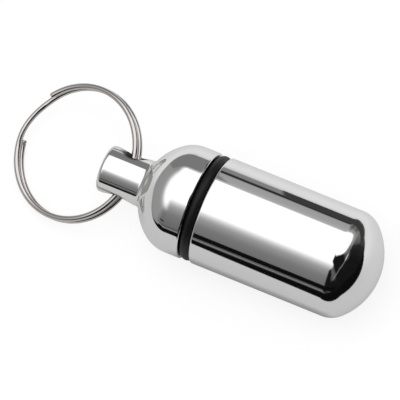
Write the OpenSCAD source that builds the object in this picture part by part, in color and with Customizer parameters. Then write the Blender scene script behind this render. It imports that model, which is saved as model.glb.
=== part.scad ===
// Pill fob for a key ring: a turned metal canister closed by a screw cap, with a rubber seal in
// the seam between them and a split ring through the neck of the cap. Sizes are in millimetres.
// X runs along the fob from the neck to the domed end and Z is up. The origin lies on the axis,
// halfway along the canister's straight barrel. The fob lies on its side, with the split ring
// hanging down from the cross hole until it touches the same surface as the barrel.

/* [Canister] */
// Outer diameter of the canister and of the cap
body_d = 19; // [15.5:0.1:28]
// Length of the straight barrel, from its rim to the edge of the domed end
barrel_l = 25.4; // [18:0.1:80]
// Height of the domed end
dome_h = 5.4; // [4.2:0.1:6.6]
// Rounding of the outer edges at the seam
rim_r = 0.3; // [0.15:0.05:0.5]
// Length of the edge break between the straight sides and their rounded ends
edge_l = 0.3; // [0.1:0.05:0.6]
// Wall round the pill bore
barrel_wall = 2.1; // [1.8:0.1:3]
// Thickness of the floor under the tip of the dome
floor_t = 3; // [2.4:0.1:5]
// Radius round the bottom of the pill bore
bore_corner_r = 3.8; // [3:0.1:5]

/* [Screw thread] */
// Wall round the canister's mouth, out from the root of its thread
mouth_wall = 1.5; // [1:0.1:1.8]
// Height of the thread, from its root in the mouth to its root on the plug
thread_h = 0.65; // [0.5:0.05:0.8]
// Length of the cap's threaded plug inside the mouth
plug_l = 5.5; // [4:0.1:8]
// Free length of the mouth's thread beyond the end of the plug
mouth_run = 1.1; // [0.5:0.1:3]
// Wall of the plug round its recess
plug_wall = 2.15; // [1.5:0.05:3]
// Depth of the recess in the end of the plug
recess_l = 6; // [3:0.1:8]
// Radius round the bottom of the recess
recess_corner_r = 1.5; // [0.5:0.1:2.5]
// Chamfer on the end of the plug and on the edge of the mouth
lead_in = 0.3; // [0.15:0.05:0.4]

/* [Seal] */
// How far the seal lies below the outer surface
seal_inset = 0.1; // [0.05:0.05:0.4]
// Clearance between the seal and its seat on the cap
seal_fit = 0.05; // [0.02:0.01:0.1]
// Clearance between the seal and each of the two faces that close on it
seal_gap = 0.03; // [0.01:0.01:0.1]

/* [Cap] */
// Length of the straight skirt
skirt_l = 4; // [2:0.1:12]
// Height of the rounded shoulder, from the skirt to the root of the neck
shoulder_h = 5.7; // [4.8:0.1:6.4]
// Diameter of the neck
neck_d = 8.2; // [6.8:0.1:10]
// Length of the neck, from its root to its flat tip
neck_l = 8.15; // [7.6:0.1:14]
// Radius round the root of the neck
neck_root_r = 1; // [0.4:0.1:1.4]
// Radius round the tip of the neck
neck_tip_r = 0.75; // [0.3:0.05:0.75]

/* [Cross hole] */
// Distance of the hole's middle from the tip of the neck
hole_back = 4.15; // [4.15:0.05:5]
// Play round the two turns of wire where they pass through the hole
hole_play = 0.49; // [0.45:0.01:0.65]
// Radius of the rounded mouths of the hole
flare_r = 2; // [1.2:0.1:2.1]
// How far above the crest of the neck the rounded mouths would level out
flare_lip = 0.07; // [0.03:0.01:0.2]
// Turn of the hole about the fob's axis, in degrees up from level
hole_roll = 25.7; // [-60:0.1:60]

/* [Split ring] */
// Outer diameter of the split ring
ring_d = 24; // [20:0.5:40]
// Diameter of its wire
wire_d = 1; // [0.8:0.05:1.2]
// Free gap between its two turns
turn_gap = 0.42; // [0.41:0.01:0.6]
// Arc over which the wire crosses from one turn to the other, in degrees
cross_arc = 35.5; // [24:0.5:60]
// Place of the wire's upper end, in degrees from the side of the ring away from the neck
end_at = 28; // [0:1:90]
// Edge break on the two ends of the wire
wire_edge = 0.15; // [0.05:0.01:0.3]
// How far the wire lies past the middle of the cross hole, towards the canister
ring_slack = 0.65; // [0.3:0.05:0.7]
// Cant of the ring about the line from the hole to its middle, in degrees
ring_cant = 7.85; // [0:0.05:9]

/* [Hidden] */
$fn = 96;

// Heights on the canister are measured from its rim towards the domed end
body_r = body_d / 2;
rim_x = -barrel_l / 2;
canister_h = barrel_l + dome_h;
dome_r = (pow(body_r, 2) + pow(dome_h, 2)) / (2 * dome_h);
dome_mid_h = canister_h - dome_r;
bore_r = body_r - barrel_wall;
bore_end_h = canister_h - floor_t;
mouth_r = body_r - mouth_wall;
mouth_end_h = plug_l + mouth_run;
plug_r = mouth_r - thread_h;
recess_r = plug_r - plug_wall;

// The seal fills the space between the plug's root and the outer surface, so its section and
// the seam that it sits in follow from them
seal_in_r = plug_r + seal_fit;
seal_out_r = body_r - seal_inset;
seal_d = seal_out_r - seal_in_r;
seam_l = seal_d + 2 * seal_gap;
seal_x = rim_x - seam_l / 2;

// Heights on the cap are measured from its seam face towards the tip of the neck
cap_x = rim_x - seam_l;
plug_end_h = -seam_l - plug_l;
root_h = skirt_l + shoulder_h;
tip_h = root_h + neck_l;
hole_x = cap_x - tip_h + hole_back;
neck_r = neck_d / 2;
// The shoulder is part of a ball that passes through the skirt's edge and the neck's root
shoulder_drop = (pow(body_r, 2) - pow(neck_r, 2) - pow(shoulder_h, 2)) / (2 * shoulder_h);
shoulder_mid_h = skirt_l - shoulder_drop;
shoulder_r = norm([body_r, shoulder_drop]);
// The root's rounding sinks this far into the neck and the shoulder, to cross both surfaces
root_sink = 0.03;

hole_r = wire_d + turn_gap / 2 + hole_play;
flare_h = neck_r - flare_r + flare_lip;
// Length that lets a cutting shape run out past the surface
run_out = 2;

wire_r = wire_d / 2;
ring_r = ring_d / 2 - wire_r;
turn_h = (wire_d + turn_gap) / 2;
ring_reach = ring_r - ring_slack;
// The wire runs flat on the upper turn, crosses over, and runs flat on the lower one
flat_arc = 360 - cross_arc;
wire_arc = 2 * flat_arc + cross_arc;
wire_sides = 12;
wire_step = 5;
wire_steps = ceil(wire_arc / wire_step);
edge_arc = wire_edge / ring_r * 180 / PI;

// Height of the wire's middle over the plane between the turns, at arc u from its upper end
function wire_z(u) =
    u < flat_arc ? turn_h :
    u > flat_arc + cross_arc ? -turn_h :
    turn_h * cos(180 * (u - flat_arc) / cross_arc);

// Rise of the wire per degree of arc
function wire_rise(u) =
    u < flat_arc || u > flat_arc + cross_arc ? 0 :
    -turn_h * PI / cross_arc * sin(180 * (u - flat_arc) / cross_arc);

function wire_angle(u) = -end_at - u;

function wire_mid(u) =
    let (a = wire_angle(u)) [ring_r * cos(a), ring_r * sin(a), wire_z(u)];

// One round section of the wire at arc u, square to the way that the wire runs
function wire_section(u, r) =
    let (
        a = wire_angle(u),
        out = [cos(a), sin(a), 0],
        run = [ring_r * sin(a), -ring_r * cos(a), wire_rise(u) * 180 / PI],
        side = cross(run / norm(run), out)
    )
    [for (k = [0:wire_sides - 1])
        let (t = 360 * k / wire_sides)
        wire_mid(u) + r * (cos(t) * out + sin(t) * side)];

// Arc and radius of every section, with the edge break at both ends
stations = concat(
    [[0, wire_r - wire_edge], [edge_arc, wire_r]],
    [for (k = [1:wire_steps - 1]) [wire_arc * k / wire_steps, wire_r]],
    [[wire_arc - edge_arc, wire_r], [wire_arc, wire_r - wire_edge]]
);

wire_middles = [for (s = stations) wire_mid(s[0])];
self_gap = min([
    for (i = [0:len(stations) - 1], j = [i + 1:1:len(stations) - 1])
        if (stations[j][0] - stations[i][0] > 90)
            norm(wire_middles[j] - wire_middles[i]) - wire_d
]);
echo(str("Least gap of the split ring's wire to itself: ", self_gap, " mm"));

// Height over the fob's axis of a point of the ring, when the ring droops by an angle
function drooped_z(p, droop) =
    let (
        x = p[0] + ring_reach,
        y = p[1] * cos(ring_cant) - p[2] * sin(ring_cant),
        z = p[1] * sin(ring_cant) + p[2] * cos(ring_cant)
    )
    (z * cos(droop) - x * sin(droop)) * cos(hole_roll) - y * sin(hole_roll);

function ring_bottom(droop) = min([for (p = wire_middles) drooped_z(p, droop)]) - wire_r;

// Droop at which the ring just touches the surface under the barrel, by halving the range
function settled(low, high, halvings) =
    let (mid = (low + high) / 2)
    halvings == 0 ? mid :
    ring_bottom(mid) > -body_r ? settled(mid, high, halvings - 1) :
    settled(low, mid, halvings - 1);

ring_droop = settled(0, 80, 20);
echo(str("Droop of the split ring: ", ring_droop, " degrees"));

// Half profile of a straight run of radius r between two heights
module straight(r, h0, h1) {
    translate([0, h0])
        square([r, h1 - h0]);
}

// Half profile between two heights, out to an arc of radius r that bulges round [mid_r, mid_h]
module bulged(mid_r, mid_h, r, h0, h1) {
    intersection() {
        union() {
            translate([mid_r, mid_h])
                circle(r = r);
            if (mid_r > 0)
                straight(mid_r, h0, h1);
        }
        straight(mid_r + r, h0, h1);
    }
}

// Half profile between two heights, in to an arc of radius r that is hollowed round the same
module hollowed(mid_r, mid_h, r, h0, h1) {
    difference() {
        straight(mid_r, h0, h1);
        translate([mid_r, mid_h])
            circle(r = r);
    }
}

// Profile of the end of a bore, with a radius round its bottom
module bore_profile(r, corner_r, h0, h1) {
    straight(r, h0, h1 - corner_r);
    bulged(r - corner_r, h1 - corner_r, corner_r, h1 - corner_r, h1);
}

// Profile of the threaded mouth, with a chamfer at the rim
module mouth_profile() {
    polygon([
        [0, -run_out],
        [mouth_r + lead_in, -run_out],
        [mouth_r + lead_in, 0],
        [mouth_r, lead_in],
        [mouth_r, mouth_end_h],
        [0, mouth_end_h]
    ]);
}

// Profile of a straight side of radius body_r that ends in part of a ball, with the edge between
// them broken at half their angle. It runs from height 0 and the ball's middle is at mid_h.
module ball_ended(side_h, end_h, ball_r, mid_h) {
    edge_h = side_h - edge_l / 2;
    edge_angle = asin((side_h - mid_h) / ball_r) / 2;
    intersection() {
        polygon([
            [0, 0],
            [body_r, 0],
            [body_r, edge_h],
            [body_r - (end_h - edge_h) * tan(edge_angle), end_h],
            [0, end_h]
        ]);
        union() {
            straight(body_r + run_out, 0, edge_h);
            translate([0, mid_h])
                circle(r = ball_r);
        }
    }
}

// Takes the sharp edge off the foot of a profile of radius r that starts at height 0
module rim_rounding(r) {
    difference() {
        translate([r - rim_r, -run_out])
            square([rim_r + run_out, rim_r + run_out]);
        translate([r - rim_r, rim_r])
            circle(r = rim_r);
    }
}

module canister_outside() {
    difference() {
        ball_ended(barrel_l, canister_h, dome_r, dome_mid_h);
        rim_rounding(body_r);
    }
}

module canister() {
    color([0.78, 0.78, 0.77])
        translate([rim_x, 0, 0])
            rotate([0, 90, 0])
                rotate_extrude()
                    difference() {
                        canister_outside();
                        mouth_profile();
                        bore_profile(bore_r, bore_corner_r, plug_l, bore_end_h);
                    }
}

module cap_outside() {
    root_mid_r = neck_r + neck_root_r - root_sink;
    root_reach = shoulder_r + neck_root_r - root_sink;
    root_mid_h = shoulder_mid_h + sqrt(pow(root_reach, 2) - pow(root_mid_r, 2));
    // The rounding starts where the line between its middle and the ball's middle crosses it
    root_start_h = root_mid_h - (root_mid_h - shoulder_mid_h) * neck_root_r / root_reach;
    difference() {
        ball_ended(skirt_l, root_h, shoulder_r, shoulder_mid_h);
        rim_rounding(body_r);
    }
    hollowed(root_mid_r, root_mid_h, neck_root_r, root_start_h, root_mid_h);
    straight(neck_r, skirt_l, tip_h - neck_tip_r);
    bulged(neck_r - neck_tip_r, tip_h - neck_tip_r, neck_tip_r, tip_h - neck_tip_r, tip_h);
}

// Profile of the plug, which carries the thread and, next to the cap, the seat of the seal
module plug_profile() {
    polygon([
        [0, plug_end_h],
        [plug_r - lead_in, plug_end_h],
        [plug_r, plug_end_h + lead_in],
        [plug_r, 0],
        [0, 0]
    ]);
}

// The cross hole with a rounded mouth at both ends, standing on the middle of the hole
module cross_hole() {
    flare_out_r = hole_r + flare_r;
    rotate_extrude() {
        straight(hole_r, -flare_h, flare_h);
        hollowed(flare_out_r, flare_h, flare_r, flare_h, flare_h + flare_r);
        straight(flare_out_r, flare_h + flare_r, flare_h + flare_r + run_out);
        hollowed(flare_out_r, -flare_h, flare_r, -flare_h - flare_r, -flare_h);
        straight(flare_out_r, -flare_h - flare_r - run_out, -flare_h - flare_r);
    }
}

module cap() {
    color([0.78, 0.78, 0.77])
        difference() {
            translate([cap_x, 0, 0])
                rotate([0, -90, 0])
                    rotate_extrude()
                        difference() {
                            union() {
                                cap_outside();
                                plug_profile();
                            }
                            bore_profile(recess_r, recess_corner_r, plug_end_h,
                                plug_end_h + recess_l);
                        }
            translate([hole_x, 0, 0])
                rotate([hole_roll - 90, 0, 0])
                    cross_hole();
        }
}

module o_ring() {
    color([0.08, 0.08, 0.08])
        translate([seal_x, 0, 0])
            rotate([0, 90, 0])
                rotate_extrude()
                    translate([(seal_in_r + seal_out_r) / 2, 0])
                        circle(d = seal_d);
}

// One unbroken tube through all the stations, closed by a flat fan at each end
module wire() {
    count = len(stations);
    last = (count - 1) * wire_sides;
    polyhedron(
        points = [for (s = stations) each wire_section(s[0], s[1])],
        faces = concat(
            [for (k = [1:wire_sides - 2]) [0, k, k + 1]],
            [for (i = [0:count - 2], k = [0:wire_sides - 1], half = [0, 1])
                let (
                    next = (k + 1) % wire_sides,
                    a = i * wire_sides + k,
                    b = i * wire_sides + next,
                    c = a + wire_sides,
                    d = b + wire_sides
                )
                half == 0 ? [a, c, b] : [b, c, d]],
            [for (k = [1:wire_sides - 2]) [last, last + k + 1, last + k]]
        )
    );
}

module split_ring() {
    color([0.72, 0.7, 0.68])
        translate([hole_x, 0, 0])
            rotate([hole_roll, 0, 0])
                rotate([0, -ring_droop, 0])
                    rotate([0, 0, 180])
                        rotate([ring_cant, 0, 0])
                            translate([ring_reach, 0, 0])
                                wire();
}

canister();
cap();
o_ring();
split_ring();
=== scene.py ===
import math

import bmesh
import bpy
from mathutils import Matrix, Vector


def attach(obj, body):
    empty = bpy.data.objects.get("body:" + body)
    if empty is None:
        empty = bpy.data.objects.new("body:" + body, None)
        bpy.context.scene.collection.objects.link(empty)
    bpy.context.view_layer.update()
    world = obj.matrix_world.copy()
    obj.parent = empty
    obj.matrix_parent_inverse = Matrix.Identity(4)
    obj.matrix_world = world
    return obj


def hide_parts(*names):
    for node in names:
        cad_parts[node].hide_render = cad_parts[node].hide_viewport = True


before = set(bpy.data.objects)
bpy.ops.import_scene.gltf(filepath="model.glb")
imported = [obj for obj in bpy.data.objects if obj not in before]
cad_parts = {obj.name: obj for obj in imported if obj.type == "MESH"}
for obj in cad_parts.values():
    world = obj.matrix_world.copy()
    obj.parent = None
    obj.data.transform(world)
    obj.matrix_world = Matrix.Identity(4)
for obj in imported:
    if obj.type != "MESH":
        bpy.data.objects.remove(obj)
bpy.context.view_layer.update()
scene = bpy.context.scene

MM = 0.001
DEGREES = math.degrees(1)
WHITE = (1, 1, 1, 1)

# The fob's own measures in millimetres, in the row frame: X along the fob, Z up
FLOOR_Z = -9.5
BODY_R = 9.5
RIM_X, RIM_R = -12.7, 0.3
CAP_X = -14.76
CHAMFER = 0.3
BORE_R = 7.4
MOUTH_R, MOUTH_CREST_R, MOUTH_END_X = 8.0, 7.47, -6.1
PLUG_R, PLUG_CREST_R, PLUG_END_X = 7.35, 7.88, -7.2
THREAD_PITCH = 1.0
NECK_R = 4.1
HOLE_X, HOLE_R, HOLE_MOUTH_R = -28.46, 1.7, 2.0
HOLE_ROLL = math.radians(25.7)

# The split ring: wire, height of a turn over the middle, degrees of the crossing and of the
# wire's ends, how far its middle hangs from the hole, and how it cants in the hole
RING_R, WIRE_R = 11.5, 0.5
TURN_H = 0.71
CROSS_ARC, END_AT = 46.0, 37.0
FLAT_ARC = 360 - CROSS_ARC
WIRE_ARC = 2 * FLAT_ARC + CROSS_ARC
RING_REACH = 10.85
RING_CANT = math.radians(7.85)

# How finely the turned pieces, the cross hole, the wire and the threads are divided
TURNED_SIDES, HOLE_SIDES, WIRE_SIDES = 144, 120, 24
WIRE_STEPS, THREAD_STEPS = 420, 96


# Shader nodes
class Level:
    """A number that shader nodes work out, and that adds and multiplies like a plain one."""

    def __init__(self, tree, socket):
        self.tree = tree
        self.socket = socket

    def __add__(self, other):
        return compute(self.tree, "ADD", self, other)

    def __sub__(self, other):
        return compute(self.tree, "SUBTRACT", self, other)

    def __rsub__(self, other):
        return compute(self.tree, "SUBTRACT", other, self)

    def __mul__(self, other):
        return compute(self.tree, "MULTIPLY", self, other)

    def __truediv__(self, other):
        return compute(self.tree, "DIVIDE", self, other)

    def __mod__(self, other):
        return compute(self.tree, "FLOORED_MODULO", self, other)

    def __neg__(self):
        return compute(self.tree, "MULTIPLY", self, -1.0)

    def __abs__(self):
        return compute(self.tree, "ABSOLUTE", self)

    __radd__ = __add__
    __rmul__ = __mul__


def node(tree, kind, **values):
    """A new node; each value goes to its setting or else to its input of that name."""
    made = tree.nodes.new(kind)
    for key, value in values.items():
        if hasattr(made, key):
            setattr(made, key, value)
        else:
            made.inputs[key].default_value = value
    return made


def feed(tree, socket, value):
    """Links a level to a socket, or gives it a plain number."""
    if isinstance(value, Level):
        tree.links.new(value.socket, socket)
    else:
        socket.default_value = value


def compute(tree, operation, a, b=0.0):
    """One math node; a and b are levels or numbers."""
    made = node(tree, "ShaderNodeMath", operation=operation)
    feed(tree, made.inputs[0], a)
    feed(tree, made.inputs[1], b)
    return Level(tree, made.outputs[0])


def distance(a, b):
    return compute(a.tree, "SQRT", a * a + b * b)


def degrees_round(y, x):
    """The angle from x towards y, in degrees from -180 to 180."""
    return compute(y.tree, "ARCTAN2", y, x) * DEGREES


def ease(value, start, end):
    """0 before start and 1 after end, rising smoothly; start may be above end."""
    made = node(value.tree, "ShaderNodeMapRange", interpolation_type="SMOOTHSTEP")
    made.inputs["From Min"].default_value = min(start, end)
    made.inputs["From Max"].default_value = max(start, end)
    feed(value.tree, made.inputs["Value"], value)
    risen = Level(value.tree, made.outputs["Result"])
    return risen if start <= end else 1.0 - risen


def blend(share, start, end):
    """From start to end by share; each of the two is a level or a number."""
    made = node(share.tree, "ShaderNodeMix", data_type="FLOAT")
    feed(share.tree, made.inputs["Factor"], share)
    feed(share.tree, made.inputs["A"], start)
    feed(share.tree, made.inputs["B"], end)
    return Level(share.tree, made.outputs["Result"])


def look_up(value, stops):
    """The level at a value, between stops of (value, level)."""
    low, high = stops[0][0], stops[-1][0]
    # a ramp holds shares from 0 to 1, so the levels in it are shares of the highest one
    top = max(level for at, level in stops)
    ramp = node(value.tree, "ShaderNodeValToRGB")
    elements = ramp.color_ramp.elements
    elements.remove(elements[-1])
    for i, (at, level) in enumerate(stops):
        position = (at - low) / (high - low)
        element = elements[0] if i == 0 else elements.new(position)
        element.position = position
        element.color = (level / top, level / top, level / top, 1)
    feed(value.tree, ramp.inputs["Fac"], (value - low) / (high - low))
    return Level(value.tree, ramp.outputs["Color"]) * top


def coordinates(tree, kind):
    place = node(tree, "ShaderNodeTexCoord")
    split = node(tree, "ShaderNodeSeparateXYZ")
    tree.links.new(place.outputs[kind], split.inputs["Vector"])
    return [Level(tree, split.outputs[axis]) for axis in "XYZ"]


def is_ray(tree, kind):
    """1 for rays of a kind, Camera or Glossy, and 0 for all others."""
    return Level(tree, node(tree, "ShaderNodeLightPath").outputs["Is " + kind + " Ray"])


# Materials
def new_material(name):
    material = bpy.data.materials.new(name)
    material.use_nodes = True
    tree = material.node_tree
    return material, tree, tree.nodes["Principled BSDF"]


def noise(tree, scale, detail, roughness, stretch=(1, 1, 1)):
    """Noise in the object's own coordinates, made finer by a factor along each axis."""
    place = node(tree, "ShaderNodeTexCoord")
    mapping = node(tree, "ShaderNodeMapping", Scale=stretch)
    made = node(tree, "ShaderNodeTexNoise", Scale=scale, Detail=detail, Roughness=roughness)
    tree.links.new(place.outputs["Object"], mapping.inputs["Vector"])
    tree.links.new(mapping.outputs["Vector"], made.inputs["Vector"])
    return Level(tree, made.outputs["Fac"])


def two_tones(share, first, second):
    """A colour between two, by share, as a socket; first is a colour or such a socket."""
    made = node(share.tree, "ShaderNodeMix", data_type="RGBA")
    if isinstance(first, tuple):
        made.inputs["A"].default_value = (*first, 1)
    else:
        share.tree.links.new(first, made.inputs["A"])
    made.inputs["B"].default_value = (*second, 1)
    feed(share.tree, made.inputs["Factor"], share)
    return made.outputs["Result"]


def surface(tree, shader, colour, polish, grain, smooth, rough, depth, strength=1.0):
    """Sets colour, roughness from smooth to rough by the noise polish, and the bumps of grain."""
    tree.links.new(colour, shader.inputs["Base Color"])
    ranger = node(tree, "ShaderNodeMapRange")
    # nearly all of a noise lies between these two
    ranger.inputs["From Min"].default_value = 0.3
    ranger.inputs["From Max"].default_value = 0.7
    ranger.inputs["To Min"].default_value = smooth
    ranger.inputs["To Max"].default_value = rough
    feed(tree, ranger.inputs["Value"], polish)
    tree.links.new(ranger.outputs["Result"], shader.inputs["Roughness"])
    bumps = node(tree, "ShaderNodeBump", Strength=strength, Distance=depth)
    feed(tree, bumps.inputs["Height"], grain)
    tree.links.new(bumps.outputs["Normal"], shader.inputs["Normal"])


def inside_hole(tree):
    """0 on the outside of the neck, rising to 1 inside the cross hole, where shade is painted."""
    outer_r, inner_r = 2.8, 2.2
    x, y, z = (value / MM for value in coordinates(tree, "Object"))
    across = z * math.cos(HOLE_ROLL) - y * math.sin(HOLE_ROLL)
    return ease(distance(x - HOLE_X, across), outer_r, inner_r)


def polished_metal(name, hole_shade=False):
    material, tree, shader = new_material(name)
    shader.inputs["Metallic"].default_value = 1.0
    smudge = noise(tree, scale=180, detail=5.0, roughness=0.55)
    turning_marks = noise(tree, scale=60, detail=3.0, roughness=0.5, stretch=(90, 1, 1))
    colour = two_tones(smudge, (0.88, 0.88, 0.875), (0.93, 0.93, 0.925))
    if hole_shade:
        # painted shade: the inside of the cross hole is darkened nearly to black, standing in for
        # the shade that falls in it
        colour = two_tones(inside_hole(tree), colour, (0.07, 0.07, 0.07))
    surface(tree, shader, colour, smudge, turning_marks, smooth=0.035, rough=0.065,
            depth=0.0000012)
    return material


def seal_rubber():
    material, tree, shader = new_material("seal_rubber")
    shader.inputs["Specular IOR Level"].default_value = 0.3
    grain = noise(tree, scale=2400, detail=6.0, roughness=0.6)
    colour = two_tones(grain, (0.003, 0.003, 0.003), (0.009, 0.009, 0.0095))
    surface(tree, shader, colour, grain, grain, smooth=0.36, rough=0.52, depth=0.00002,
            strength=0.5)
    return material


def steel_wire():
    material, tree, shader = new_material("steel_wire")
    shader.inputs["Metallic"].default_value = 1.0
    wear = noise(tree, scale=500, detail=5.0, roughness=0.6)
    colour = two_tones(wear, (0.6, 0.565, 0.55), (0.76, 0.73, 0.715))
    surface(tree, shader, colour, wear, wear, smooth=0.03, rough=0.08, depth=0.000012,
            strength=0.35)
    return material


# the cap's material has painted shade inside the cross hole
METAL, CAP_METAL_HOLE_SHADE = polished_metal("polished_metal"), polished_metal("polished_cap_hole_shade", True)
RUBBER, STEEL = seal_rubber(), steel_wire()


# Making a piece
def put_material(obj, material):
    obj.data.materials.clear()
    obj.data.materials.append(material)


def plain_mesh(name, vertices, faces):
    mesh = bpy.data.meshes.new(name)
    mesh.from_pydata([[c * MM for c in v] for v in vertices], [], faces)
    mesh.validate()
    shaped = bmesh.new()
    shaped.from_mesh(mesh)
    bmesh.ops.recalc_face_normals(shaped, faces=shaped.faces)
    shaped.to_mesh(mesh)
    shaped.free()
    return mesh


def cut_away(mesh, cutter):
    """The mesh without what the cutter's vertices and faces enclose."""
    whole = bpy.data.objects.new("whole", mesh)
    tool = bpy.data.objects.new("tool", plain_mesh("tool", *cutter))
    for obj in (whole, tool):
        scene.collection.objects.link(obj)
    cut = whole.modifiers.new("cut", "BOOLEAN")
    cut.operation, cut.solver, cut.object = "DIFFERENCE", "EXACT", tool
    seen = whole.evaluated_get(bpy.context.evaluated_depsgraph_get())
    result = bpy.data.meshes.new_from_object(seen)
    result.name = mesh.name
    for obj in (whole, tool):
        spent = obj.data
        bpy.data.objects.remove(obj)
        bpy.data.meshes.remove(spent)
    return result


def mesh_piece(name, vertices, faces, material, body, sharp_from, cutter=None):
    """A piece on a body; edges that bend by more than sharp_from degrees stay sharp."""
    mesh = plain_mesh(name, vertices, faces)
    if cutter:
        mesh = cut_away(mesh, cutter)
    shaped = bmesh.new()
    shaped.from_mesh(mesh)
    bmesh.ops.recalc_face_normals(shaped, faces=shaped.faces)
    limit = math.radians(sharp_from)
    for edge in shaped.edges:
        edge.smooth = len(edge.link_faces) == 2 and edge.calc_face_angle(0) < limit
    for face in shaped.faces:
        face.smooth = True
    shaped.to_mesh(mesh)
    shaped.free()
    obj = bpy.data.objects.new(name, mesh)
    scene.collection.objects.link(obj)
    put_material(obj, material)
    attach(obj, body)
    return obj


def circle(sides):
    """The cosine and sine of each corner's angle."""
    angles = (2 * math.pi * k / sides for k in range(sides))
    return [(math.cos(a), math.sin(a)) for a in angles]


# The two turned pieces, as in the CAD but with the wide rounded edges that the real ones have
# between their straight sides and their rounded ends. A profile is a list of (height, radius).
def arc(mid_h, mid_r, radius, start, end, step=2.0):
    """An arc between two angles, which run from straight out towards greater heights."""
    count = max(2, math.ceil(abs(end - start) / step))
    angles = [math.radians(start + (end - start) * k / count) for k in range(count + 1)]
    return [(mid_h + radius * math.sin(a), mid_r + radius * math.cos(a)) for a in angles]


def straight(h0, h1, radius, step=0.25):
    """A straight run at one radius, in short steps."""
    count = max(1, math.ceil(abs(h1 - h0) / step))
    return [(h0 + (h1 - h0) * k / count, radius) for k in range(count + 1)]


def ball_end(corner_h, top_h, top_r, edge_r):
    """The ball whose top is at top_h, where it is top_r wide, and which would meet the straight
    side at corner_h: its radius and middle, the middle of the rounded edge that joins it to the
    side, and the angle at which that edge meets the ball."""
    rise = top_h - corner_h
    drop = (BODY_R ** 2 - top_r ** 2 - rise ** 2) / (2 * rise)
    ball_r, ball_h = math.hypot(BODY_R, drop), corner_h - drop
    edge_h = ball_h + math.sqrt((ball_r - edge_r) ** 2 - (BODY_R - edge_r) ** 2)
    meet = math.degrees(math.acos((BODY_R - edge_r) / (ball_r - edge_r)))
    return ball_r, ball_h, edge_h, meet


def side_to_rim(edge_h, edge_r, meet):
    """From the ball over the rounded edge and down the straight side to the rounded rim."""
    profile = arc(edge_h, BODY_R - edge_r, edge_r, meet, 0)[1:]
    # a point a short step in from each end keeps the normals of the straight side true
    guard = 0.05
    profile += [(edge_h - guard, BODY_R), (RIM_R + guard, BODY_R)]
    return profile + arc(RIM_R, BODY_R - RIM_R, RIM_R, 0, -90, 15)


def lathe(profile, origin, axis, side, sides):
    """Turns a profile that starts and ends on the axis."""
    origin, axis, side = Vector(origin), Vector(axis), Vector(side)
    third = axis.cross(side)
    ends = [origin + profile[0][0] * axis, origin + profile[-1][0] * axis]
    vertices = [origin + h * axis + r * (out * side + up * third)
                for h, r in profile[1:-1] for out, up in circle(sides)]
    rows = len(profile) - 2
    faces = []
    for i in range(rows - 1):
        for k in range(sides):
            n = (k + 1) % sides
            faces.append((i * sides + k, i * sides + n, (i + 1) * sides + n, (i + 1) * sides + k))
    for k in range(sides):
        n = (k + 1) % sides
        faces.append((k, n, rows * sides))
        faces.append(((rows - 1) * sides + n, (rows - 1) * sides + k, rows * sides + 1))
    return vertices + ends, faces


def build_canister():
    """Heights run from the rim at the seam towards the domed end."""
    corner_h, dome_h, edge_r = 25.7, 30.8, 4.5
    mouth_h, bore_h, bore_edge_r = MOUTH_END_X - RIM_X, 27.8, 3.8
    ball_r, ball_h, edge_h, meet = ball_end(corner_h, dome_h, 0, edge_r)
    profile = arc(ball_h, 0, ball_r, 90, meet, 1.5)
    profile += side_to_rim(edge_h, edge_r, meet)
    profile += [(0, MOUTH_R + CHAMFER), (CHAMFER, MOUTH_R), (mouth_h, MOUTH_R), (mouth_h, BORE_R)]
    profile += arc(bore_h - bore_edge_r, BORE_R - bore_edge_r, bore_edge_r, 0, 90, 5)
    profile.append((bore_h, 0))
    vertices, faces = lathe(profile, (RIM_X, 0, 0), (1, 0, 0), (0, 1, 0), TURNED_SIDES)
    made = mesh_piece("canister_shell", vertices, faces, METAL, "canister",
                      sharp_from=30)
    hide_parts("canister")


def build_cap():
    """Heights run from the rim at the seam towards the tip of the neck, and the plug's are
    below zero."""
    corner_h, edge_r = 4.4, 6
    root_h, root_r = 9.8, 1.0
    tip_h, tip_r = 17.85, 0.75
    plug_h = CAP_X - PLUG_END_X
    recess_h, recess_r, recess_edge_r = plug_h + 6, 5.2, 1.5
    ball_r, ball_h, edge_h, meet = ball_end(corner_h, root_h, NECK_R, edge_r)
    # the root's rounding touches the ball and the neck
    root_mid_h = ball_h + math.sqrt((ball_r + root_r) ** 2 - (NECK_R + root_r) ** 2)
    root_meet = math.degrees(math.acos((NECK_R + root_r) / (ball_r + root_r)))
    profile = [(tip_h, 0)] + arc(tip_h - tip_r, NECK_R - tip_r, tip_r, 90, 0, 5)
    profile += straight(tip_h - tip_r, root_mid_h, NECK_R)[1:]
    profile += arc(root_mid_h, NECK_R + root_r, root_r, 180, 180 + root_meet, 4)[1:]
    profile += arc(ball_h, 0, ball_r, root_meet, meet, 1.5)[1:]
    profile += side_to_rim(edge_h, edge_r, meet)
    profile += [(0, PLUG_R), (plug_h + CHAMFER, PLUG_R), (plug_h, PLUG_R - CHAMFER)]
    profile.append((plug_h, recess_r))
    profile += arc(recess_h - recess_edge_r, recess_r - recess_edge_r, recess_edge_r, 0, 90, 10)
    profile.append((recess_h, 0))
    vertices, faces = lathe(profile, (CAP_X, 0, 0), (-1, 0, 0), (0, 1, 0), TURNED_SIDES)
    made = mesh_piece("cap_shell", vertices, faces, CAP_METAL_HOLE_SHADE, "cap",
                      sharp_from=30, cutter=cross_hole())
    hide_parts("cap")


def cross_hole():
    """What is cut out of the neck: a hole with rounded mouths, which ends in the air."""
    straight_h, outer_r, end_h = 2.17, HOLE_R + HOLE_MOUTH_R, 7
    half = straight(0, straight_h, HOLE_R)
    half += arc(straight_h, outer_r, HOLE_MOUTH_R, 180, 90, 3)[1:]
    half += [(end_h, outer_r), (end_h, 0)]
    whole = [(-h, r) for h, r in reversed(half)] + half[1:]
    along = (0, math.cos(HOLE_ROLL), math.sin(HOLE_ROLL))
    return lathe(whole, (HOLE_X, 0, 0), along, (1, 0, 0), HOLE_SIDES)


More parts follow.
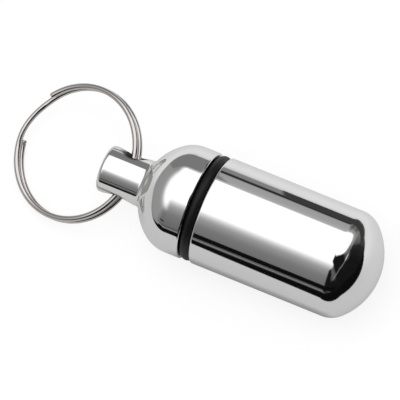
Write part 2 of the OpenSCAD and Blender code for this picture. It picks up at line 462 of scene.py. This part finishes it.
# The split ring, as in the CAD but with a round, smooth wire and softened ends. Places along
# the wire are given as degrees from its first end.
def wire_height(at):
    if at < FLAT_ARC:
        return TURN_H
    if at > FLAT_ARC + CROSS_ARC:
        return -TURN_H
    return TURN_H * math.cos(math.pi * (at - FLAT_ARC) / CROSS_ARC)


def wire_slope(at):
    """Rise for each millimetre along the ring."""
    if at < FLAT_ARC or at > FLAT_ARC + CROSS_ARC:
        return 0.0
    per_degree = -TURN_H * math.pi / CROSS_ARC * math.sin(math.pi * (at - FLAT_ARC) / CROSS_ARC)
    return per_degree / (RING_R * math.pi / 180)


def wire_frame(at):
    """The wire's middle, and the directions out from the ring's middle and along the wire."""
    angle = math.radians(-END_AT - at)
    out = Vector((math.cos(angle), math.sin(angle), 0))
    ahead = Vector((math.sin(angle), -math.cos(angle), wire_slope(at))).normalized()
    return out * RING_R + Vector((0, 0, wire_height(at))), out, ahead


def ring_place(droop):
    """Hangs the ring in the hole of the neck, drooping by an angle."""
    return (
        Matrix.Translation((HOLE_X, 0, 0))
        @ Matrix.Rotation(HOLE_ROLL, 4, "X")
        @ Matrix.Rotation(-droop, 4, "Y")
        @ Matrix.Rotation(math.pi, 4, "Z")
        @ Matrix.Rotation(RING_CANT, 4, "X")
        @ Matrix.Translation((RING_REACH, 0, 0))
    )


def resting_droop():
    """The ring's lowest point rests on the floor; the droop is found by halving."""
    middles = [wire_frame(at)[0] for at in range(int(WIRE_ARC) + 1)]
    low, high = 0.0, math.radians(80)
    for _ in range(30):
        halfway = (low + high) / 2
        place = ring_place(halfway)
        if min((place @ middle).z for middle in middles) - WIRE_R > FLOOR_Z:
            low = halfway
        else:
            high = halfway
    return (low + high) / 2


def build_split_ring():
    edge_r, edge_steps = 0.15, 4
    edge_arc = math.degrees(edge_r / RING_R)
    quarter = [math.pi / 2 * k / edge_steps for k in range(edge_steps)]
    rounding = [(edge_arc * (1 - math.cos(a)), WIRE_R - edge_r * (1 - math.sin(a)))
                for a in quarter]
    between = WIRE_ARC - 2 * edge_arc
    stations = rounding + [(edge_arc + between * k / WIRE_STEPS, WIRE_R)
                           for k in range(WIRE_STEPS + 1)]
    stations += [(WIRE_ARC - at, r) for at, r in reversed(rounding)]
    place = ring_place(resting_droop())
    vertices, faces = [], []
    for at, r in stations:
        middle, out, ahead = wire_frame(at)
        side = ahead.cross(out)
        vertices += [place @ (middle + r * (c * out + s * side)) for c, s in circle(WIRE_SIDES)]
    for i in range(len(stations) - 1):
        for k in range(WIRE_SIDES):
            a, b = i * WIRE_SIDES + k, i * WIRE_SIDES + (k + 1) % WIRE_SIDES
            faces.append((a, a + WIRE_SIDES, b + WIRE_SIDES, b))
    faces.append(tuple(range(WIRE_SIDES)))
    faces.append(tuple(reversed(range(len(vertices) - WIRE_SIDES, len(vertices)))))
    made = mesh_piece("split_ring_wire", vertices, faces, STEEL, "ring",
                      sharp_from=60)
    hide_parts("split_ring")


def build_thread(name, body, root_r, crest_r, start_x, end_x):
    """A right-hand helical ridge of a 60-degree thread, fading out at both ends."""
    turns = (end_x - start_x) / THREAD_PITCH
    count = int(turns * THREAD_STEPS)
    fade_turns = 0.35
    crest_half, flank = THREAD_PITCH / 16, math.tan(math.radians(30))
    # the ridge's foot is sunk into the metal
    sink = 0.04 if crest_r > root_r else -0.04
    vertices, faces = [], []
    for i in range(count + 1):
        share = i / count
        angle = 2 * math.pi * turns * share
        middle = start_x + (end_x - start_x) * share
        fade = min(1.0, share * turns / fade_turns, (1 - share) * turns / fade_turns)
        top_r = root_r + (crest_r - root_r) * fade
        foot = crest_half + abs(top_r - root_r) * flank + abs(sink) * flank
        for x, r in ((middle - foot, root_r - sink), (middle - crest_half, top_r),
                     (middle + crest_half, top_r), (middle + foot, root_r - sink)):
            vertices.append((x, r * math.cos(angle), r * math.sin(angle)))
    for i in range(count):
        for k in range(4):
            a, b = 4 * i + k, 4 * i + (k + 1) % 4
            faces.append((a, b, b + 4, a + 4))
    faces.append((0, 1, 2, 3))
    faces.append(tuple(4 * count + k for k in (3, 2, 1, 0)))
    mesh_piece(name, vertices, faces, METAL, body, sharp_from=20)


for node_name, material, slot in (("canister", METAL, "polished_body"),
                                  ("cap", METAL, "polished_body"),
                                  ("o_ring", RUBBER, "seal_rubber")):
    put_material(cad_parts[node_name], material)

build_canister()
build_cap()
build_split_ring()
build_thread("plug_thread", "cap", PLUG_R, PLUG_CREST_R, start_x=-12.2, end_x=PLUG_END_X - 0.45)
build_thread("mouth_thread", "canister", MOUTH_R, MOUTH_CREST_R, start_x=-11.7,
             end_x=MOUTH_END_X - 0.6)


# The studio that the metal mirrors: a wide softbox overhead with darker surroundings
SOFTBOX = 1.2

# Brightness by height in degrees above the horizon in front of the fob (-Y), over the zenith
# (90) and down to the horizon behind it (180)
FRONT_TO_BACK = (
    (-90, 0.1), (0, 0.11), (4.2, 0.11), (5.5, 0.155), (14, 0.165), (21, 0.18), (25.5, 0.188),
    (30, 0.2), (34, 0.22), (38, 0.255), (43, 0.3), (47, 0.345), (51, 0.45), (55, 0.62),
    (59, 0.85), (62, 1.06), (64.5, SOFTBOX), (134.5, SOFTBOX), (136.5, 0.46), (141, 0.41),
    (144, 0.38), (156.5, 0.35), (158, 0.02), (163, 0.02), (165, 0.24), (175, 0.22),
    (177, 0.5), (179, 0.7), (270, 0.7),
)

# Beyond the neck: brightness by height, and what changes it by the angle from -X towards +Y,
# how far the heights shift up, counted from NO_SHIFT, and a shade on what is low
NECK_END = (
    (-90, 0.3), (0, 0.29), (28, 0.31), (32, 0.34), (36, 0.42), (40, 0.6), (44, 0.88),
    (48, 1.08), (52, SOFTBOX), (90, SOFTBOX),
)
NECK_SHIFT = (
    (-180, 0), (-44, 0), (-28, 2), (0, 6), (12, 7), (28, 9.5), (44, 10), (60, 8), (76, 7),
    (180, 7),
)
NO_SHIFT = 6.0
NECK_SHADE = (
    (-180, 0.35), (-80, 0.38), (-62, 0.58), (-48, 1), (30, 1), (40, 0.85), (60, 0.78),
    (70, 0.45), (180, 0.4),
)

# Beyond the domed end, by the angle from +X towards +Y: height of the softbox's edge, the grey
# of the room under it, and height of a thin pale line in that room
DOME_EDGE = (
    (-180, 82), (-40, 81), (-24, 77.5), (-8, 73), (0, 69), (16, 61), (32, 54), (40, 49.5),
    (48, 44.5), (56, 40.5), (64, 37), (72, 38.5), (88, 42), (180, 42),
)
DOME_GREY = (
    (-180, 0.006), (8, 0.008), (22, 0.015), (31, 0.025), (36, 0.1), (44, 0.14), (52, 0.17),
    (62, 0.15), (70, 0.09), (78, 0.16), (87, 0.08), (96, 0.2), (180, 0.22),
)
DOME_LINE = (
    (-180, 20), (-66, 29), (-54, 37), (-39, 44), (-18, 45), (-1, 46), (19, 46), (36, 40),
    (49, 32), (58, 24), (66, 10), (180, 10),
)

# Strengths of the glows in the room beyond the dome
UNDER_EDGE_GLOW, STRIP_GLOW, LOW_STRIP_GLOW, REFLECTOR_GLOW = 0.25, 0.1, 0.045, 0.05
LINE_GLOW, LINE_GLINT = 0.14, 0.4

# The floor as the metal mirrors it: lit paper, brighter behind the fob by PAPER_BEHIND and
# darker by PAPER_CONTACT, a painted shadow, where the barrel nearly touches it; then
# the floor beyond the paper
PAPER, PAPER_BEHIND, PAPER_CONTACT = 0.22, 0.2, 0.85
BEYOND_DOME, BEYOND_FRONT, BEYOND_NECK, BEYOND_BACK = 0.004, 0.11, 0.28, 0.6
# How much of the lit surface, with the object's shadow in it, the camera and the metal see,
# and the plain glow that the camera sees with it
SHADOW_SEEN, SHADOW_MIRRORED, GLOW_SEEN = 0.26, 0.45, 0.81

# Upright cards along the fob that only the metal sees: low and high (x, z), y, brightness
CARDS = (
    ("front_flag", (-28, 9.3), (60, 20.7), -68, 0.004),
    ("back_flag", (-13, 9.5), (110, 28), 60, 0.045),
    ("back_panel", (-110, 10), (-27, 60), 62, 0.2),
    ("neck_flag", (-52, 16), (-37, 19.5), -68, 0.01),
    ("neck_line", (-52, -1.5), (-37, 3.5), -68, 0.004),
)

# The camera, fitted to the object's outline in the photograph: its directions to the right and
# back towards itself, what it aims at along its right and up, its width of view and its
# distance, in metres, and the width of its sensor in millimetres
CAMERA_RIGHT = (0.9058, 0.4186, -0.0657)
CAMERA_BACK = (0.212, -0.3133, 0.9257)
AIM_RIGHT, AIM_UP = -0.013507, 0.006434
VIEW_WIDTH, VIEW_DISTANCE = 0.0672, 2.0
SENSOR = 36


def neck_room(x, y, height):
    """Brightness beyond the neck; heights and angles are in degrees."""
    about = degrees_round(y, -x)
    shifted = height - (look_up(about, NECK_SHIFT) - NO_SHIFT)
    shade = blend(ease(shifted, 34, 46), look_up(about, NECK_SHADE), 1.0)
    return look_up(shifted, NECK_END) * shade


def dome_room(x, y, height):
    """Brightness beyond the domed end; heights and angles are in degrees."""
    about = degrees_round(y, x)
    over_edge = height - look_up(about, DOME_EDGE)
    under_edge = ease(over_edge, -16, -1) * ease(about, -5, 12)
    # a pale strip in front, which leans from 40 degrees up, and a fainter one under it
    lean = compute(height.tree, "MAXIMUM", height - 40.0, 0.0)
    strip = ease(abs(about + 66.0 + lean), 15, 5) * ease(height, 22, 36) * ease(height, 66, 60)
    low_strip = ease(abs(about + 78.0), 12, 5) * ease(height, 10, 2)
    # a round reflector near the axis
    reflector = ease(distance((about - 4.0) * 0.9, height - 48.0), 16, 6)
    # the thin pale line, with a glint on the axis
    line = ease(abs(height - look_up(about, DOME_LINE)), 3.2, 1.0) * ease(about, -74, -58)
    line_level = ease(abs(about), 14, 4) * LINE_GLINT + LINE_GLOW
    grey = look_up(about, DOME_GREY) + under_edge * UNDER_EDGE_GLOW + strip * STRIP_GLOW
    grey = grey + low_strip * LOW_STRIP_GLOW + reflector * REFLECTOR_GLOW + line * line_level
    return blend(ease(over_edge, -3, 3), grey, SOFTBOX)


def build_world():
    world = bpy.data.worlds.new("studio")
    scene.world = world
    world.use_nodes = True
    tree = world.node_tree
    tree.nodes.clear()
    x, y, z = coordinates(tree, "Generated")
    # from -90 straight down, through 0 in front, 90 above and 180 behind, to 270
    around = (compute(tree, "ARCTAN2", z, -y) + math.pi / 2) * DEGREES % 360.0 - 90.0
    height = compute(tree, "ARCSINE", z) * DEGREES
    # each end's own room takes over by how far a direction points along the fob
    level = blend(ease(x, -0.2, -0.5), look_up(around, FRONT_TO_BACK), neck_room(x, y, height))
    # the softbox in front ends in a round corner towards the dome
    corner = ease(abs(height - 58.0), 11, 2) * ease(y, 0.1, -0.1)
    level = blend(ease(x - corner * 0.17, -0.16, -0.04), level, dome_room(x, y, height))
    # only the metal sees the room; the camera sees plain white, and all else a plain level
    room = node(tree, "ShaderNodeBackground", Color=WHITE)
    feed(tree, room.inputs["Strength"], level)
    plain = node(tree, "ShaderNodeBackground", Color=WHITE)
    feed(tree, plain.inputs["Strength"], blend(is_ray(tree, "Camera"), 0.6, 1.0))
    mix = node(tree, "ShaderNodeMixShader")
    feed(tree, mix.inputs["Fac"], is_ray(tree, "Glossy"))
    tree.links.new(plain.outputs[0], mix.inputs[1])
    tree.links.new(room.outputs[0], mix.inputs[2])
    out = node(tree, "ShaderNodeOutputWorld")
    tree.links.new(mix.outputs[0], out.inputs["Surface"])


def stage_mesh(name, corners, material):
    mesh = bpy.data.meshes.new(name)
    points = [[c * MM for c in corner] for corner in corners]
    mesh.from_pydata(points, [], [tuple(range(len(points)))])
    obj = bpy.data.objects.new(name, mesh)
    scene.collection.objects.link(obj)
    put_material(obj, material)
    return obj


def mirrored_floor(tree):
    """How bright the floor is to the metal, and how much of that is paper; in millimetres."""
    x, y = (value / MM for value in coordinates(tree, "Object")[:2])
    # the paper's front edge runs aslant, more so beside the cap, and straight beyond the neck
    aslant = compute(tree, "MINIMUM", x * 0.536 - 47.5, x * 1.07 - 37.5)
    over_edge = y - compute(tree, "MAXIMUM", aslant, -69.0)
    paper = ease(over_edge, -4, 1) * ease(distance(x, y), 900, 400)
    # painted shadow: the paper's glow is darkened where the barrel nearly touches it
    contact_shadow = ease(y, -17, -11) * ease(y, 6, 0) * ease(x, -20, -15) * ease(x, 15, 11)
    lit = (ease(y, -20, 60) * PAPER_BEHIND + PAPER) * (1.0 - contact_shadow * PAPER_CONTACT)
    in_front = ease(y, -200, -300) * ease(x, 60, 0)
    behind = ease(y, 100, 300) * ease(x, 50, -100)
    beyond = blend(in_front, BEYOND_DOME, BEYOND_FRONT)
    beyond = blend(ease(x, -95, -125), beyond, BEYOND_NECK)
    beyond = blend(behind, beyond, BEYOND_BACK)
    return blend(paper, beyond, lit), paper


def build_floor():
    """White to the camera; to the metal it is a sheet of pale paper that ends near the fob."""
    material, tree, shader = new_material("pale_floor")
    shader.inputs["Base Color"].default_value = (0.9, 0.9, 0.9, 1)
    shader.inputs["Roughness"].default_value = 0.9
    shader.inputs["Specular IOR Level"].default_value = 0.0
    mirrored, paper = mirrored_floor(tree)
    camera, glossy = is_ray(tree, "Camera"), is_ray(tree, "Glossy")
    glow = node(tree, "ShaderNodeEmission", Color=WHITE)
    feed(tree, glow.inputs["Strength"], blend(camera, mirrored * glossy, GLOW_SEEN))
    share = blend(camera, blend(glossy, 1.0, paper * SHADOW_MIRRORED), SHADOW_SEEN)
    dimmed = node(tree, "ShaderNodeMixShader")
    feed(tree, dimmed.inputs["Fac"], share)
    tree.links.new(shader.outputs[0], dimmed.inputs[2])
    add = node(tree, "ShaderNodeAddShader")
    tree.links.new(dimmed.outputs[0], add.inputs[0])
    tree.links.new(glow.outputs[0], add.inputs[1])
    tree.links.new(add.outputs[0], tree.nodes["Material Output"].inputs["Surface"])
    size = 3000
    stage_mesh("floor", [(-size, -size, FLOOR_Z), (size, -size, FLOOR_Z), (size, size, FLOOR_Z),
                         (-size, size, FLOOR_Z)], material)


def build_card(name, low, high, y, level):
    material, tree, _ = new_material(name)
    glow = node(tree, "ShaderNodeEmission", Color=WHITE, Strength=level)
    tree.links.new(glow.outputs[0], tree.nodes["Material Output"].inputs["Surface"])
    card = stage_mesh(name, [(low[0], y, low[1]), (high[0], y, low[1]), (high[0], y, high[1]),
                             (low[0], y, high[1])], material)
    card.visible_camera = card.visible_diffuse = card.visible_shadow = False
    card.visible_transmission = card.visible_volume_scatter = False


def build_lamp(name, at, size, power):
    data = bpy.data.lights.new(name, "AREA")
    data.shape = "SQUARE"
    data.size = size
    data.energy = power
    lamp = bpy.data.objects.new(name, data)
    lamp.location = at
    lamp.rotation_mode = "QUATERNION"
    lamp.rotation_quaternion = (-Vector(at)).to_track_quat("-Z", "Y")
    lamp.visible_glossy = False
    scene.collection.objects.link(lamp)


def build_camera():
    back = Vector(CAMERA_BACK).normalized()
    up = back.cross(Vector(CAMERA_RIGHT).normalized()).normalized()
    right = up.cross(back)
    data = bpy.data.cameras.new("camera")
    data.sensor_width = SENSOR
    data.lens = SENSOR * VIEW_DISTANCE / VIEW_WIDTH
    data.clip_start, data.clip_end = 0.05, 20
    camera = bpy.data.objects.new("camera", data)
    place = AIM_RIGHT * right + AIM_UP * up + VIEW_DISTANCE * back
    turn = Matrix((right, up, back)).transposed().to_4x4()
    camera.matrix_world = Matrix.Translation(place) @ turn
    scene.collection.objects.link(camera)
    scene.camera = camera


build_world()
build_floor()
for card in CARDS:
    build_card(*card)
build_lamp("overhead", at=(-0.05, -0.1, 0.6), size=0.5, power=1.4)
build_camera()
scene.view_settings.view_transform = "Standard"
